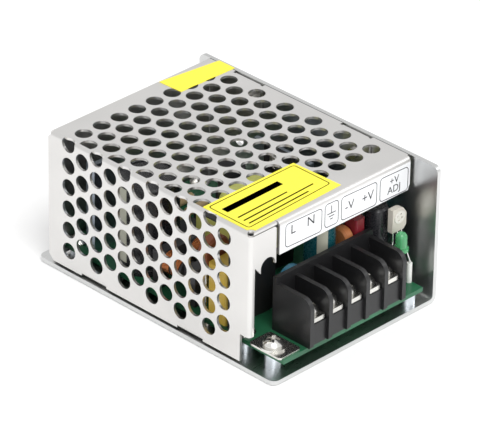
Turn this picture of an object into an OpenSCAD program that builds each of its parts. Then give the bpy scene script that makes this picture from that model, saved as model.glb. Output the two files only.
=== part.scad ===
// Enclosed mains power supply in a perforated sheet-metal case, with a row of
// five screw terminals at the front. Millimetres. The origin is at the centre
// of the footprint, on the underside; +Z is up and the terminals face -Y.

/* [Base chassis] */
// Width across the floor and the side wall
base_w = 58; // [57:0.5:66]
// Length of the floor, front edge to back edge
base_l = 84.4; // [84:0.4:96]
// Height from the underside to the top of the cover
case_h = 38.9; // [37.5:0.1:46]
// Thickness of the base sheet
base_t = 1.2; // [1:0.1:1.5]
// Outside radius of the fold between floor and side wall
base_fold_r = 2; // [1.8:0.1:3]
// Radius of the floor's corners, seen from above
floor_corner_r = 2; // [0.5:0.5:4]
// Radius of the side wall's upper corners
wall_corner_r = 1.8; // [0.5:0.1:3]
// How far the side wall's back edge lies in front of the floor's
wall_back_step = 0.6; // [0.2:0.1:2]

/* [Cover] */
// Thickness of the cover sheet
cover_t = 0.7; // [0.5:0.1:0.9]
// Outside radius of the cover's folds
cover_fold_r = 1; // [1:0.1:1.5]
// Gap between the cover's outer side and the edge of the floor
cover_side_inset = 0.4; // [0.2:0.1:1]
// Distance of the cover's front from the front edge of the floor
cover_setback = 9; // [8.6:0.1:10]
// Distance of the cover's back from the back edge of the floor
cover_back_gap = 3.9; // [2:0.1:5]
// Gap between the cover's top and the side wall of the base
seam_gap = 0.2; // [0.1:0.05:0.4]
// Height of the dark gap under the cover's lower edge
floor_gap = 0.55; // [0.4:0.05:0.8]
// Radius of the round reliefs where two folds meet
relief_r = 0.8; // [0.5:0.1:1]

/* [Vent holes] */
// Diameter of one punched hole
vent_d = 4.54; // [3:0.02:4.7]
// Distance between holes of one row
vent_pitch = 6.16; // [6:0.01:7]
// Distance between rows
row_pitch = 5.01; // [4.95:0.01:6]
// Distance of the last row from the cover's back
vent_back_margin = 7.4; // [6:0.1:9]
// Least distance of the first row from the cover's front
vent_front_margin = 8.6; // [6:0.1:10]
// Centre of a fold hole beyond the outer side, measured on the top
fold_hole_out = 0.84; // [0.5:0.01:1.2]
// Centre of a fold hole below the top, measured on the side
fold_hole_down = 1.11; // [0.8:0.01:1.4]
// Least distance of a hole's centre from a free edge
vent_edge_margin = 4.4; // [3.5:0.1:6]

/* [Front lip and flange] */
// Left edge of the lip, from the cover's outer side
lip_left = 9.44; // [9.4:0.02:12]
// Right edge of the lip, from the cover's right edge
lip_right = 0.5; // [0.3:0.1:3]
// Height of the lip
lip_drop = 9.2; // [8:0.1:10]
// How far the lip's face stands in front of the cover's front edge
lip_proud = 0.5; // [0.2:0.1:0.8]
// Outside radius of the lip's fold
lip_fold_r = 1.3; // [1.1:0.1:2]
// Width and height of the chamfer at the lip's lower right corner
lip_chamfer = [0.7, 1.6]; // [0.2:0.1:3]
// Width of the flange at the upper left corner
flange_w = 8.9; // [8:0.1:9]
// Height of the flange's lowest tooth, below the top
flange_drop = 12.5; // [12:0.1:14]
// Height of the flange's shoulder beside its edge strip, below the top
flange_shoulder = 10.1; // [9.5:0.1:10.5]
// Width of the strip that runs down the front edge of the side
edge_strip_w = 1.6; // [1.5:0.1:2.2]
// Radius of the wire notch in the flange
wire_notch_r = 2.5; // [2:0.1:2.6]
// Centre of the wire notch, from the cover's side and below the top
wire_notch_at = [6.15, 11.3]; // [1:0.05:14]
// Width and height of the notch at the lower front corner of the side
side_notch = [3.2, 7.8]; // [2:0.1:9]
// Chamfer at the lower back corner of the side
side_chamfer = 1.5; // [0.5:0.1:3]

/* [Cover fixing] */
// Width and length of one fixing tab
tab_size = [9, 10]; // [8:0.5:12]
// Distance of a tab's screw from the tab's fold
tab_screw_at = 6; // [5:0.1:7]
// Places of the wall tabs, from the cover's front
wall_tabs_at = [18, 56]; // [10:1:62]
// Places of the foot tabs, from the cover's front
foot_tabs_at = [20.5, 55]; // [14:0.5:62]
// Diameter of the cover screws
cover_screw_d = 3; // [2.5:0.5:3]
// Diameter of the countersunk heads
cover_head_d = 5.4; // [5:0.1:6]
// Height of a countersunk head
cover_head_h = 1; // [0.8:0.05:1]

/* [Mounting holes] */
// Diameter of the tapped mounting holes
mount_hole_d = 3; // [2.5:0.1:4]
// Distance between the floor's mounting holes, across and along
floor_mount_span = [24, 54]; // [16:1:60]
// Distance between the side wall's mounting holes
wall_mount_span = 54; // [40:1:64]
// Height of the side wall's mounting holes
wall_mount_z = 19; // [12:0.5:24]

/* [Circuit board] */
// Thickness of the board
board_t = 1.2; // [1:0.1:1.6]
// Height of the standoffs
standoff_h = 3.6; // [3.2:0.1:5]
// Diameter of the standoffs
standoff_d = 4.2; // [4:0.1:5]
// Gap from the base's outer side to the board's left edge
board_left_gap = 3.5; // [3.2:0.1:4]
// Gap between the board's right edge and the side wall
board_right_gap = 3.6; // [2.5:0.1:4]
// Gap from the front edge of the floor to the board
board_front_gap = 0.2; // [0.1:0.1:0.5]
// Gap between the board and the cover's back
board_back_gap = 0.6; // [0.3:0.1:2]
// Diameter of the board screws
board_screw_d = 2.6; // [2.2:0.1:2.8]
// Diameter of the pan heads
pan_head_d = 5.4; // [4.8:0.1:5.6]
// Height of the pan heads
pan_head_h = 2; // [1.6:0.1:2.4]
// Diameter of the plain washers
washer_d = 6.8; // [6.2:0.1:7]
// Thickness of the washers
washer_t = 0.5; // [0.3:0.1:0.8]
// Diameter of the component leads
lead_d = 0.7; // [0.5:0.1:0.8]
// Width and length of the earth tab
earth_tab_size = [7.4, 10.8]; // [7:0.1:11]
// Thickness of the earth tab
earth_tab_t = 0.55; // [0.4:0.05:0.8]

/* [Terminal block] */
// Distance between terminals
pole_pitch = 6.57; // [6.4:0.01:6.7]
// Thickness of the fins between terminals
fin_t = 1.33; // [1.2:0.01:1.36]
// Depth of the block, front to back
block_d = 12.95; // [12.8:0.05:13.4]
// Height of the fins above the board
fin_h = 13.5; // [13:0.1:15]
// Height of the rear wall above the board
rear_wall_h = 15.2; // [14:0.1:16]
// Thickness of the rear wall
rear_wall_t = 1.25; // [1:0.05:1.4]
// Height of the low front wall above the board
sill_h = 6.1; // [5.6:0.1:6.5]
// How far the block stands in front of the floor's edge
block_proud = 0.7; // [0.4:0.1:1.5]
// Distance of the block's left side from the board's left edge
block_left = 8.2; // [7.9:0.1:8.3]
// Diameter of the terminal screws
pole_screw_d = 3; // [2.5:0.5:3]
// Diameter of the terminal screw heads
pole_head_d = 4.9; // [4.5:0.1:4.9]
// Height of the terminal screw heads
pole_head_h = 2.4; // [2:0.1:2.6]
// Thickness of the wire clamps
clamp_t = 1.2; // [0.8:0.1:1.3]
// Thickness of the contact strips
contact_t = 0.8; // [0.6:0.1:1]

/* [Indicator and trimmer] */
// Diameter of the indicator lamp's dome
lamp_d = 3; // [2.8:0.1:3.2]
// Height of the lamp's rim above the board
lamp_rise = 10.2; // [9:0.1:11]
// Width of the trimmer's housing
trimmer_w = 5; // [4.8:0.1:5.2]
// Height of the trimmer's housing
trimmer_h = 6.5; // [6:0.1:6.8]
// Depth of the trimmer's housing
trimmer_depth = 1.65; // [1.6:0.05:1.9]
// Height of the trimmer's housing above the board
trimmer_rise = 14.1; // [13:0.1:15]
// Diameter of the trimmer's rotor
rotor_d = 3.6; // [3.2:0.1:3.8]

/* [Components] */
// Diameter of the mains storage capacitor
bulk_d = 16; // [14:0.5:16.5]
// Height of the mains storage capacitor
bulk_h = 25; // [20:0.5:27]
// Diameter of the output capacitors
output_cap_d = 8; // [7:0.5:8.5]
// Height of the output capacitors
output_cap_h = 20; // [16:0.5:22]
// Diameter of the small output capacitor
small_cap_d = 6.3; // [5:0.1:6.4]
// Length, width and height of the mains film capacitor
film_cap_size = [13, 6.5, 15.8]; // [6:0.1:16]
// Width, length and thickness of the transformer core
core_size = [22, 19, 6.4]; // [6:0.1:22]
// Height of the transformer core's middle above the board
core_rise = 12; // [11.5:0.1:13]
// Height of the heat sink
sink_h = 25; // [20:0.5:27]
// Thickness of the heat sink
sink_t = 1.5; // [1:0.1:2]
// Thickness of the insulating barrier
barrier_t = 0.5; // [0.3:0.1:0.8]
// Height of the insulating barrier
barrier_h = 27; // [22:0.5:27]

/* [Hidden] */
$fn = 64;
eps = 0.01;
poles = 5; // one named clamp and screw for each

// ---- places worked out from the sizes above ----
total_l = base_l + block_proud;
base_x0 = -base_w / 2;
base_x1 = base_w / 2;
base_y1 = total_l / 2;
base_y0 = base_y1 - base_l;
wall_in_x = base_x1 - base_t;
cover_x0 = base_x0 + cover_side_inset;
cover_x1 = wall_in_x - seam_gap;
cover_y0 = base_y0 + cover_setback;
cover_y1 = base_y1 - cover_back_gap;
cover_z0 = base_t + floor_gap;
cover_w = cover_x1 - cover_x0;
cover_l = cover_y1 - cover_y0;
cover_drop = case_h - cover_z0;
board_x0 = base_x0 + board_left_gap;
board_x1 = wall_in_x - board_right_gap;
board_y0 = base_y0 + board_front_gap;
board_y1 = cover_y1 - cover_t - board_back_gap;
board_z0 = base_t + standoff_h;
board_z1 = board_z0 + board_t;
lip_y = cover_y0 - lip_proud;
lip_x0 = cover_x0 + lip_left;
lip_x1 = cover_x1 - lip_right;
block_x0 = board_x0 + block_left;
block_x1 = block_x0 + poles * pole_pitch + fin_t;
block_y0 = -total_l / 2;
block_y1 = block_y0 + block_d;
head_clear = 0.1;   // round the countersunk heads and in screw holes
seat_clear = 0.05;  // a sliding piece in its seat
label_t = 0.12;     // paper and film labels
lead_stub = 1.4;    // leads below the board
lead_clear = 0.15;  // round a lead in its hole

// ---- general shapes ----

// Rectangle whose corners [front left, front right, back right, back left] are rounded
module plan(w, l, r) {
    difference() {
        square([w, l]);
        corner(r[0]);
        translate([w, 0]) mirror([1, 0]) corner(r[1]);
        translate([w, l]) rotate(180) corner(r[2]);
        translate([0, l]) mirror([0, 1]) corner(r[3]);
    }
}

// What a corner of radius r takes off a square outline
module corner(r) {
    difference() {
        translate([-1, -1]) square(r + 1);
        translate([r, r]) circle(r);
    }
}

// Block on z = 0 with rounded upright edges
module rounded_block(size, r) {
    linear_extrude(size.z) plan(size.x, size.y, [r, r, r, r]);
}

// Quarter bend of a sheet round +Z, from +X to +Y
module bend(r, t, length) {
    rotate_extrude(angle = 90) translate([r - t, 0]) square([t, length]);
}

// Bend whose axis runs along Y from y; sx and sz say which way its walls face
module bend_y(x, y, z, sx, sz, r, t, length) {
    translate([x, y + length, z])
        mirror([sx < 0 ? 1 : 0, 0, 0]) mirror([0, 0, sz < 0 ? 1 : 0])
            rotate([90, 0, 0]) bend(r, t, length);
}

// Bend whose axis runs along X from x; sy says which way its upright wall faces
module bend_x(x, y, z, sy, r, t, length) {
    translate([x, y, z]) mirror([0, sy < 0 ? 1 : 0, 0])
        rotate([90, 0, 90]) bend(r, t, length);
}

// Sheet in the plane x = constant, drawn in (y, z), t thick towards +X
module sheet_yz(x, t) {
    translate([x, 0, 0]) rotate([90, 0, 90]) linear_extrude(t) children();
}

// Sheet in the plane y = constant, drawn in (x, z), t thick towards +Y
module sheet_xz(y, t) {
    translate([0, y + t, 0]) rotate([90, 0, 0]) linear_extrude(t) children();
}

// Countersunk seat or head: wide at z = 0, pointing up
module countersink(d_wide, d_narrow, h) {
    cylinder(d1 = d_wide, d2 = d_narrow, h = h);
}

// Cross recess sunk into z = 0 from above
module cross_recess(span, width, depth) {
    for (a = [0, 90])
        rotate(a) translate([-span / 2, -width / 2, -depth]) cube([span, width, depth + 1]);
}

// Domed head of diameter d and height h, standing on z = 0
module dome_head(d, h, rim) {
    rise = h - rim;
    ball_r = (pow(d / 2, 2) + pow(rise, 2)) / (2 * rise);
    intersection() {
        cylinder(d = d, h = h);
        translate([0, 0, h - ball_r]) sphere(ball_r);
    }
}

// ---- base chassis ----

wall_l = base_l - wall_back_step;
wall_screw_z = case_h - tab_screw_at;
foot_screw_x = cover_x0 + tab_screw_at;
foot_boss_d = cover_screw_d + 3.4;
function wall_tab_y(i) = cover_y0 + wall_tabs_at[i];
function foot_tab_y(i) = cover_y0 + foot_tabs_at[i];

// Floor and one side wall: a single folded sheet
module base_chassis() color("gainsboro") {
    difference() {
        union() {
            linear_extrude(base_t) difference() {
                translate([base_x0, base_y0])
                    plan(base_w - base_fold_r, base_l, [floor_corner_r, 0, 0, floor_corner_r]);
                for (p = standoff_places) translate(p) circle(d = rivet_d + 2 * seat_clear);
                for (sx = [-1, 1], sy = [-1, 1])
                    translate([sx * floor_mount_span.x, sy * floor_mount_span.y] / 2)
                        circle(d = mount_hole_d);
            }
            bend_y(base_x1 - base_fold_r, base_y0, base_fold_r, 1, -1, base_fold_r, base_t, wall_l);
            sheet_yz(wall_in_x, base_t) difference() {
                translate([base_y0, base_fold_r])
                    plan(wall_l, case_h - base_fold_r, [0, 0, wall_corner_r, wall_corner_r]);
                for (sy = [-1, 1])
                    translate([sy * wall_mount_span / 2, wall_mount_z]) circle(d = mount_hole_d);
            }
            for (i = [0:1]) translate([foot_screw_x, foot_tab_y(i), 0])
                cylinder(d = foot_boss_d, h = cover_z0);
        }
        for (i = [0:1]) {
            translate([foot_screw_x, foot_tab_y(i), 0]) screw_path();
            translate([base_x1, wall_tab_y(i), wall_screw_z]) rotate([0, -90, 0]) screw_path();
        }
    }
}

// Clearance hole with a countersink for a cover screw, entering at z = 0
module screw_path() {
    translate([0, 0, -eps]) cylinder(d = cover_screw_d + 2 * head_clear, h = 4 * base_t);
    translate([0, 0, -eps])
        countersink(cover_head_d + 3 * head_clear, cover_screw_d + 2 * head_clear,
                    cover_head_h + head_clear);
}

// ---- cover ----

flange_gap = 0.25;  // between the flange and the edge of the top sheet
tab_gap = 0.8;      // reliefs on both sides of a wall tab
flange_top = case_h - cover_t - flange_gap;
strip_z0 = cover_z0 + side_notch.y;
vent_rows = floor((cover_l - vent_back_margin - vent_front_margin) / row_pitch) + 1;
function row_y(b) = cover_y1 - vent_back_margin - b * row_pitch;
function odd(b) = b % 2;
// Hole centres across the top in row b, from the cover's outer side
function top_holes(b) = [for (i = [1:20])
    let (x = -fold_hole_out + (i - odd(b) / 2) * vent_pitch)
    if (x <= cover_w - vent_edge_margin) x];
// Hole centres down the side in row b, below the top
function side_holes(b) = [for (i = [1:20])
    let (d = fold_hole_down + (i - odd(b) / 2) * vent_pitch)
    if (d <= cover_drop - vent_edge_margin) d];

// The cover is one folded sheet, kept here as one piece for each of its walls.
// Pierced top with its folds to the side and to the back
module perforated_cover() color("silver") difference() {
    union() {
        cover_top();
        bend_y(cover_x0 + cover_fold_r, cover_y0 + cover_fold_r, case_h - cover_fold_r, -1, 1,
               cover_fold_r, cover_t, cover_l - 2 * cover_fold_r);
        bend_x(cover_x0 + cover_fold_r, cover_y1 - cover_fold_r, case_h - cover_fold_r, 1,
               cover_fold_r, cover_t, cover_w - cover_fold_r);
    }
    fold_holes();
    translate([cover_x0 + relief_r, cover_y0 + relief_r, flange_top])
        cylinder(r = relief_r, h = 2 * cover_t);
}

// The holes that run over the fold, punched through its top and its side
module fold_holes() {
    for (b = [0:2:vent_rows - 1]) {
        translate([cover_x0 - fold_hole_out, row_y(b), case_h - cover_fold_r - cover_t])
            cylinder(d = vent_d, h = cover_fold_r + 2 * cover_t);
        translate([cover_x0 - eps, row_y(b), case_h - fold_hole_down])
            rotate([0, 90, 0]) cylinder(d = vent_d, h = cover_fold_r);
    }
}

module cover_top() {
    x0 = cover_x0 + cover_fold_r;
    translate([0, 0, case_h - cover_t]) linear_extrude(cover_t) difference() {
        translate([x0, cover_y0]) square([cover_x1 - x0, cover_l - cover_fold_r]);
        // the lip's fold starts behind the front edge
        translate([lip_x0 - (lip_left - flange_w), cover_y0 - 1])
            square([cover_w, lip_y + lip_fold_r - cover_y0 + 1]);
        for (b = [0:vent_rows - 1], x = top_holes(b))
            translate([cover_x0 + x, row_y(b)]) circle(d = vent_d);
        for (i = [0:1]) translate([cover_x1 - cover_fold_r, wall_tab_y(i) - tab_size.x / 2 - tab_gap])
            square([2 * cover_fold_r, tab_size.x + 2 * tab_gap]);
    }
}

// Pierced side wall
module cover_side() color("silver") difference() {
    sheet_yz(cover_x0, cover_t) difference() {
        translate([cover_y0 + cover_fold_r, cover_z0])
            plan(cover_l - cover_fold_r, cover_drop - cover_fold_r, [0, 0, cover_fold_r, 0]);
        translate([cover_y0, cover_z0 - 1]) square([side_notch.x, side_notch.y + 1]);
        translate([cover_y1, cover_z0]) rotate(45)
            square(side_chamfer * sqrt(2), center = true);
        for (b = [0:vent_rows - 1], d = side_holes(b))
            translate([row_y(b), case_h - d]) circle(d = vent_d);
        for (i = [0:1]) translate([foot_tab_y(i) - tab_size.x / 2, cover_z0 - 1])
            square([tab_size.x, 1 + cover_fold_r]);
    }
    fold_holes();
}

// Back wall
module cover_back() color("silver") {
    x0 = cover_x0 + cover_t + seam_gap;
    sheet_xz(cover_y1 - cover_t, cover_t) translate([x0, cover_z0])
        plan(cover_x1 - x0, cover_drop - cover_fold_r, [side_chamfer, side_chamfer, 0, 0]);
}

// Front lip, folded down from the top, and corner flange, folded in from the side
module cover_front() color("silver") {
    cover_lip();
    cover_flange();
}

module cover_lip() {
    bend_x(lip_x0, lip_y + lip_fold_r, case_h - lip_fold_r, -1, lip_fold_r, cover_t, lip_x1 - lip_x0);
    sheet_xz(lip_y, cover_t) polygon([
        [lip_x0, case_h - lip_fold_r],
        [lip_x0, case_h - lip_drop],
        [lip_x1 - lip_chamfer.x, case_h - lip_drop],
        [lip_x1, case_h - lip_drop + lip_chamfer.y],
        [lip_x1, case_h - lip_fold_r]]);
}

module cover_flange() {
    translate([cover_x0 + cover_fold_r, cover_y0 + cover_fold_r, strip_z0])
        rotate(180) bend(cover_fold_r, cover_t, flange_top - strip_z0);
    sheet_xz(cover_y0, cover_t) difference() {
        translate([cover_x0 + cover_fold_r, 0]) {
            translate([0, strip_z0])
                square([edge_strip_w - cover_fold_r, flange_top - strip_z0]);
            translate([0, case_h - flange_shoulder])
                plan(flange_w - cover_fold_r, flange_top - case_h + flange_shoulder,
                     [0, 0, cover_fold_r, 0]);
            polygon([
                [edge_strip_w - cover_fold_r, case_h - flange_shoulder],
                [wire_notch_at.x - wire_notch_r - cover_fold_r, case_h - flange_drop],
                [flange_w - cover_fold_r, case_h - wire_notch_at.y],
                [flange_w - cover_fold_r, case_h - flange_shoulder]]);
        }
        translate([cover_x0 + wire_notch_at.x, case_h - wire_notch_at.y]) {
            circle(wire_notch_r);
            translate([-wire_notch_r, -flange_drop]) square([2 * wire_notch_r, flange_drop]);
        }
    }
}

// Four small tabs that take the cover's screws
module cover_tabs() color("silver") for (i = [0:1]) {
    wall_tab(i);
    foot_tab(i);
}

// Tab that hangs inside the base's side wall and takes a screw
module wall_tab(i) {
    y0 = wall_tab_y(i) - tab_size.x / 2;
    bend_y(cover_x1 - cover_fold_r, y0, case_h - cover_fold_r, 1, 1, cover_fold_r, cover_t, tab_size.x);
    sheet_yz(cover_x1 - cover_t, cover_t) difference() {
        translate([y0, case_h - tab_size.y])
            plan(tab_size.x, tab_size.y - cover_fold_r, [2, 2, 0, 0]);
        translate([wall_tab_y(i), wall_screw_z]) circle(d = cover_screw_d + 2 * seat_clear);
    }
}

// Tab that turns in under the side and rests on a boss of the floor
module foot_tab(i) {
    y0 = foot_tab_y(i) - tab_size.x / 2;
    bend_y(cover_x0 + cover_fold_r, y0, cover_z0 + cover_fold_r, -1, -1,
           cover_fold_r, cover_t, tab_size.x);
    translate([0, 0, cover_z0]) linear_extrude(cover_t) difference() {
        translate([cover_x0 + cover_fold_r, y0])
            plan(tab_size.y - cover_fold_r, tab_size.x, [0, 2, 2, 0]);
        translate([foot_screw_x, foot_tab_y(i)]) circle(d = cover_screw_d + 2 * seat_clear);
    }
}

// Countersunk screws: two through the side wall, two through the floor
module cover_screws() color("lightgray") {
    for (i = [0:1]) {
        translate([foot_screw_x, foot_tab_y(i), head_clear]) cover_screw(cover_z0 + 1.5);
        translate([base_x1 - head_clear, wall_tab_y(i), wall_screw_z])
            rotate([0, -90, 0]) cover_screw(base_t + 2.5);
    }
}

module cover_screw(reach) {
    difference() {
        union() {
            countersink(cover_head_d, cover_screw_d, cover_head_h);
            cylinder(d = cover_screw_d, h = reach);
        }
        mirror([0, 0, 1]) cross_recess(cover_head_d * 0.6, 0.7, cover_head_h * 0.7);
    }
}

// ---- labels ----

legend_margin = 0.15;

// White printed plate on the lip's face
module legend_plate() color("white") {
    z1 = case_h - lip_fold_r;
    sheet_xz(lip_y - label_t, label_t) polygon([
        [lip_x0 + legend_margin, z1],
        [lip_x0 + legend_margin, case_h - lip_drop + legend_margin],
        [lip_x1 - lip_chamfer.x - legend_margin, case_h - lip_drop + legend_margin],
        [lip_x1 - legend_margin, case_h - lip_drop + lip_chamfer.y],
        [lip_x1 - legend_margin, z1]]);
}

// Yellow label at the front left of the top, laid a little askew
label_x1 = 33;       // right edge, from the cover's side
label_y0 = [0, 1.8]; // front edge at the left and at the right
label_y1 = 17.4;     // back edge
module service_label() color("gold") {
    translate([cover_x0, cover_y0, case_h]) linear_extrude(label_t) difference() {
        polygon([
            [cover_fold_r, label_y0[0] + relief_r],
            [label_x1, label_y0[1]],
            [label_x1 - 0.6, label_y1],
            [cover_fold_r, label_y1]]);
        translate([relief_r, relief_r]) circle(2 * relief_r);
    }
}

// Small yellow sticker over the seam, near the back
sticker_w = 19.2;
sticker_l = 8;
module seam_sticker() color("gold") {
    translate([wall_in_x + base_t * 0.5, cover_y1 - cover_fold_r - sticker_l, case_h])
        linear_extrude(label_t) polygon([
            [0, 0],
            [0, sticker_l - 2.4],
            [-sticker_w, sticker_l],
            [-sticker_w + 0.2, 0.4]]);
}

// ---- circuit board and what holds it ----

rivet_d = 3.4;
standoff_bore_d = board_screw_d + 2 * seat_clear;
corner_screw = [board_x0 + 2.35, board_y0 + 5.9];
earth_screw = [board_x0 + 2.35, board_y0 + 15.5];
front_post = [board_x1 - 2.65, board_y0 + 2.8];
back_screws = [[board_x0 + 3, board_y1 - 3.1], [board_x1 - 3.4, board_y1 - 3.1]];
screw_places = concat([corner_screw, earth_screw], back_screws);
standoff_places = concat(screw_places, [front_post]);

module circuit_board() color("seagreen") {
    translate([0, 0, board_z0]) linear_extrude(board_t) difference() {
        translate([board_x0, board_y0]) square([board_x1 - board_x0, board_y1 - board_y0]);
        for (p = screw_places) translate(p) circle(d = board_screw_d + 2 * head_clear);
        for (l = board_leads) translate([l.x, l.y]) circle(d = lead_d + 2 * lead_clear);
        for (n = [1:poles]) translate([pole_x(n), pin_y]) circle(d = pin_d + 2 * lead_clear);
        for (x = tongue_x) translate([x - lead_clear, barrier_y - lead_clear])
            square([tongue_w + 2 * lead_clear, barrier_t + 2 * lead_clear]);
    }
}

// Riveted posts between floor and board
module board_standoffs() color("lightsteelblue") {
    for (p = standoff_places) translate(p) difference() {
        union() {
            cylinder(d = rivet_d, h = base_t + standoff_h / 2);
            translate([0, 0, base_t]) cylinder(d = standoff_d, h = standoff_h);
        }
        translate([0, 0, -eps]) cylinder(d = standoff_bore_d, h = base_t + standoff_h + 1);
    }
}

// Screws that hold the board; the corner one stands on a washer and the earth tab
module board_screws() color("silver") {
    for (p = screw_places) {
        lift = p == corner_screw ? earth_tab_t + washer_t : 0;
        translate([p.x, p.y, board_z1 + lift]) pan_screw(board_screw_d, board_t + lift + 2.5, 35);
    }
}

module pan_screw(d, reach, turn) {
    translate([0, 0, -reach]) cylinder(d = d, h = reach + eps);
    difference() {
        dome_head(pan_head_d, pan_head_h, 0.6);
        translate([0, 0, pan_head_h]) rotate(turn) cross_recess(pan_head_d * 0.62, 0.9, 1.1);
    }
}

module earth_washer() color("silver") {
    translate([corner_screw.x, corner_screw.y, board_z1 + earth_tab_t]) difference() {
        cylinder(d = washer_d, h = washer_t);
        translate([0, 0, -1]) cylinder(d = board_screw_d + 2 * head_clear, h = 3);
    }
}

// Plate on the board's front left corner
module earth_tab() color("lightgray") {
    translate([corner_screw.x - earth_tab_size.x / 2 + 0.6,
               corner_screw.y - earth_tab_size.y / 2, board_z1])
        difference() {
            rounded_block([earth_tab_size.x, earth_tab_size.y, earth_tab_t], 0.9);
            translate([earth_tab_size.x / 2 - 0.6, earth_tab_size.y / 2, -1])
                cylinder(d = board_screw_d + 2 * head_clear, h = 3);
        }
}

// Plastic sheet between the screws and the mains parts; two tongues pass through the board
barrier_x0 = board_x0 + 0.4;
barrier_w = 16;
barrier_y = earth_screw.y + washer_d / 2 + 0.3;
tongue_w = 3;
tongue_x = [barrier_x0 + 2, barrier_x0 + barrier_w - 2 - tongue_w];
module insulating_barrier() color([0.12, 0.12, 0.12]) {
    sheet_xz(barrier_y, barrier_t) {
        translate([barrier_x0, board_z1]) plan(barrier_w, barrier_h, [0, 0, 1.5, 1.5]);
        for (x = tongue_x) translate([x, board_z0 - lead_stub])
            square([tongue_w, board_t + lead_stub + eps]);
    }
}

// ---- terminal block ----

bay_w = pole_pitch - fin_t;
fin_corner_r = 3;
sill_t = 1.3;
contact_z = board_z1 + sill_h - contact_t;
clamp_z = contact_z + contact_t;
pole_y = block_y0 + 4.5;
rear_y = block_y1 - rear_wall_t;
function pole_x(n) = block_x0 + fin_t + bay_w / 2 + (n - 1) * pole_pitch;
pole_reach = 4.6;   // length of a terminal screw under its clamp

// Moulded housing: fins, sill, rear wall and the body under the contacts
module terminal_block() color([0.1, 0.1, 0.1]) {
    difference() {
        union() {
            for (n = [0:poles]) translate([block_x0 + n * pole_pitch, 0, 0])
                sheet_yz(0, fin_t) translate([block_y0, board_z1])
                    plan(block_d, fin_h, [0.4, 0, 0, fin_corner_r]);
            translate([block_x0, block_y0 + 0.8, board_z1])
                cube([poles * pole_pitch + fin_t, block_d - 0.8, sill_h - contact_t - 0.02]);
            translate([block_x0, block_y0 + 0.8, board_z1])
                cube([poles * pole_pitch + fin_t, sill_t - 0.4, sill_h - 0.2]);
            translate([block_x0, rear_y, board_z1])
                cube([poles * pole_pitch + fin_t, rear_wall_t, rear_wall_h]);
        }
        for (n = [1:poles]) {
            translate([pole_x(n), pole_y, board_z1 + 1])
                cylinder(d = pole_screw_d + 1, h = sill_h);
            translate([pole_x(n), pin_y, board_z1 - 1]) cylinder(d = pin_d + 0.2, h = sill_h + 2);
        }
    }
}

// Contact strips with their screw threads and solder pins
pin_d = 1.2;
pin_y = rear_y - 1.3;
contact_w = bay_w - 0.4;
module terminal_contacts() color("lightgray") {
    for (n = [1:poles]) {
        difference() {
            translate([pole_x(n) - contact_w / 2, block_y0 + 0.8 + sill_t - 0.4 + seat_clear, contact_z])
                cube([contact_w, rear_y - block_y0 - 0.8 - sill_t + 0.4 - 2 * seat_clear, contact_t]);
            translate([pole_x(n), pole_y, contact_z - 1])
                cylinder(d = pole_screw_d + 2 * seat_clear, h = contact_t + 2);
        }
        translate([pole_x(n), pin_y, board_z0 - lead_stub])
            cylinder(d = pin_d, h = contact_z - board_z0 + lead_stub + eps);
    }
}

// Saddle-shaped washer that presses on the wire
clamp_w = bay_w - 0.34;
clamp_front = 3.5;
clamp_back = 2.6;
module wire_clamp(n) color("silver") {
    translate([pole_x(n), pole_y, clamp_z]) difference() {
        translate([-clamp_w / 2, -clamp_front, 0])
            rounded_block([clamp_w, clamp_front + clamp_back, clamp_t], 0.5);
        translate([0, 0, -1]) cylinder(d = pole_screw_d + 2 * seat_clear, h = 4);
    }
}

// Combination-slot binding screw
module terminal_screw(n) color("silver") {
    translate([pole_x(n), pole_y, clamp_z + clamp_t + 0.02]) {
        translate([0, 0, -pole_reach]) cylinder(d = pole_screw_d, h = pole_reach + eps);
        difference() {
            dome_head(pole_head_d, pole_head_h, 0.9);
            translate([0, 0, pole_head_h]) rotate(20 + 34 * n) {
                cross_recess(pole_head_d * 0.6, 0.8, 1);
                translate([-pole_head_d, -0.4, -0.7]) cube([2 * pole_head_d, 0.8, 2]);
            }
        }
    }
}

// ---- indicator lamp and trimmer ----

lamp_at = [board_x1 - 3.5, board_y0 + 4.6];
lamp_z = board_z1 + lamp_rise;
lamp_lead_gap = 2.54;
module indicator_lamp() color("palegreen") {
    translate([lamp_at.x, lamp_at.y, lamp_z]) {
        difference() {
            cylinder(d = lamp_d + 0.8, h = 0.9);
            translate([lamp_d / 2 + 0.2, -lamp_d, -1]) cube([lamp_d, 2 * lamp_d, 3]);
        }
        cylinder(d = lamp_d, h = 5.3 - lamp_d / 2);
        translate([0, 0, 5.3 - lamp_d / 2]) sphere(d = lamp_d);
    }
}

lamp_wire_d = 0.5;
lamp_lead_y = lamp_at.y - 0.4;
sleeve_x = [lamp_at.x - lamp_lead_gap / 2, lamp_at.x + 2.9];
sleeve_h = [7, 5.6];
sleeve_d = 1.4;
module lamp_leads() color("lightgray") {
    translate([sleeve_x[0], lamp_lead_y, board_z0 - lead_stub])
        cylinder(d = lamp_wire_d, h = lamp_z - board_z0 + lead_stub);
    // the other lead bends outwards below the lamp and then runs straight down
    knee = [sleeve_x[1], lamp_lead_y, board_z1 + sleeve_h[1] + 0.6];
    head = [lamp_at.x + lamp_lead_gap / 2, lamp_lead_y, lamp_z];
    span = norm(head - knee);
    translate([knee.x, knee.y, board_z0 - lead_stub])
        cylinder(d = lamp_wire_d, h = knee.z - board_z0 + lead_stub);
    translate(knee) {
        sphere(d = 1.2 * lamp_wire_d);
        rotate([0, atan2(head.x - knee.x, head.z - knee.z), 0])
            cylinder(d = lamp_wire_d, h = span);
    }
}

// White insulating sleeves on the lamp's leads
module lead_sleeves() color("white") {
    for (i = [0:1]) translate([sleeve_x[i], lamp_lead_y, board_z1]) difference() {
        cylinder(d = sleeve_d, h = sleeve_h[i]);
        translate([0, 0, -1]) cylinder(d = lamp_wire_d + 2 * seat_clear, h = sleeve_h[i] + 2);
    }
}

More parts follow.
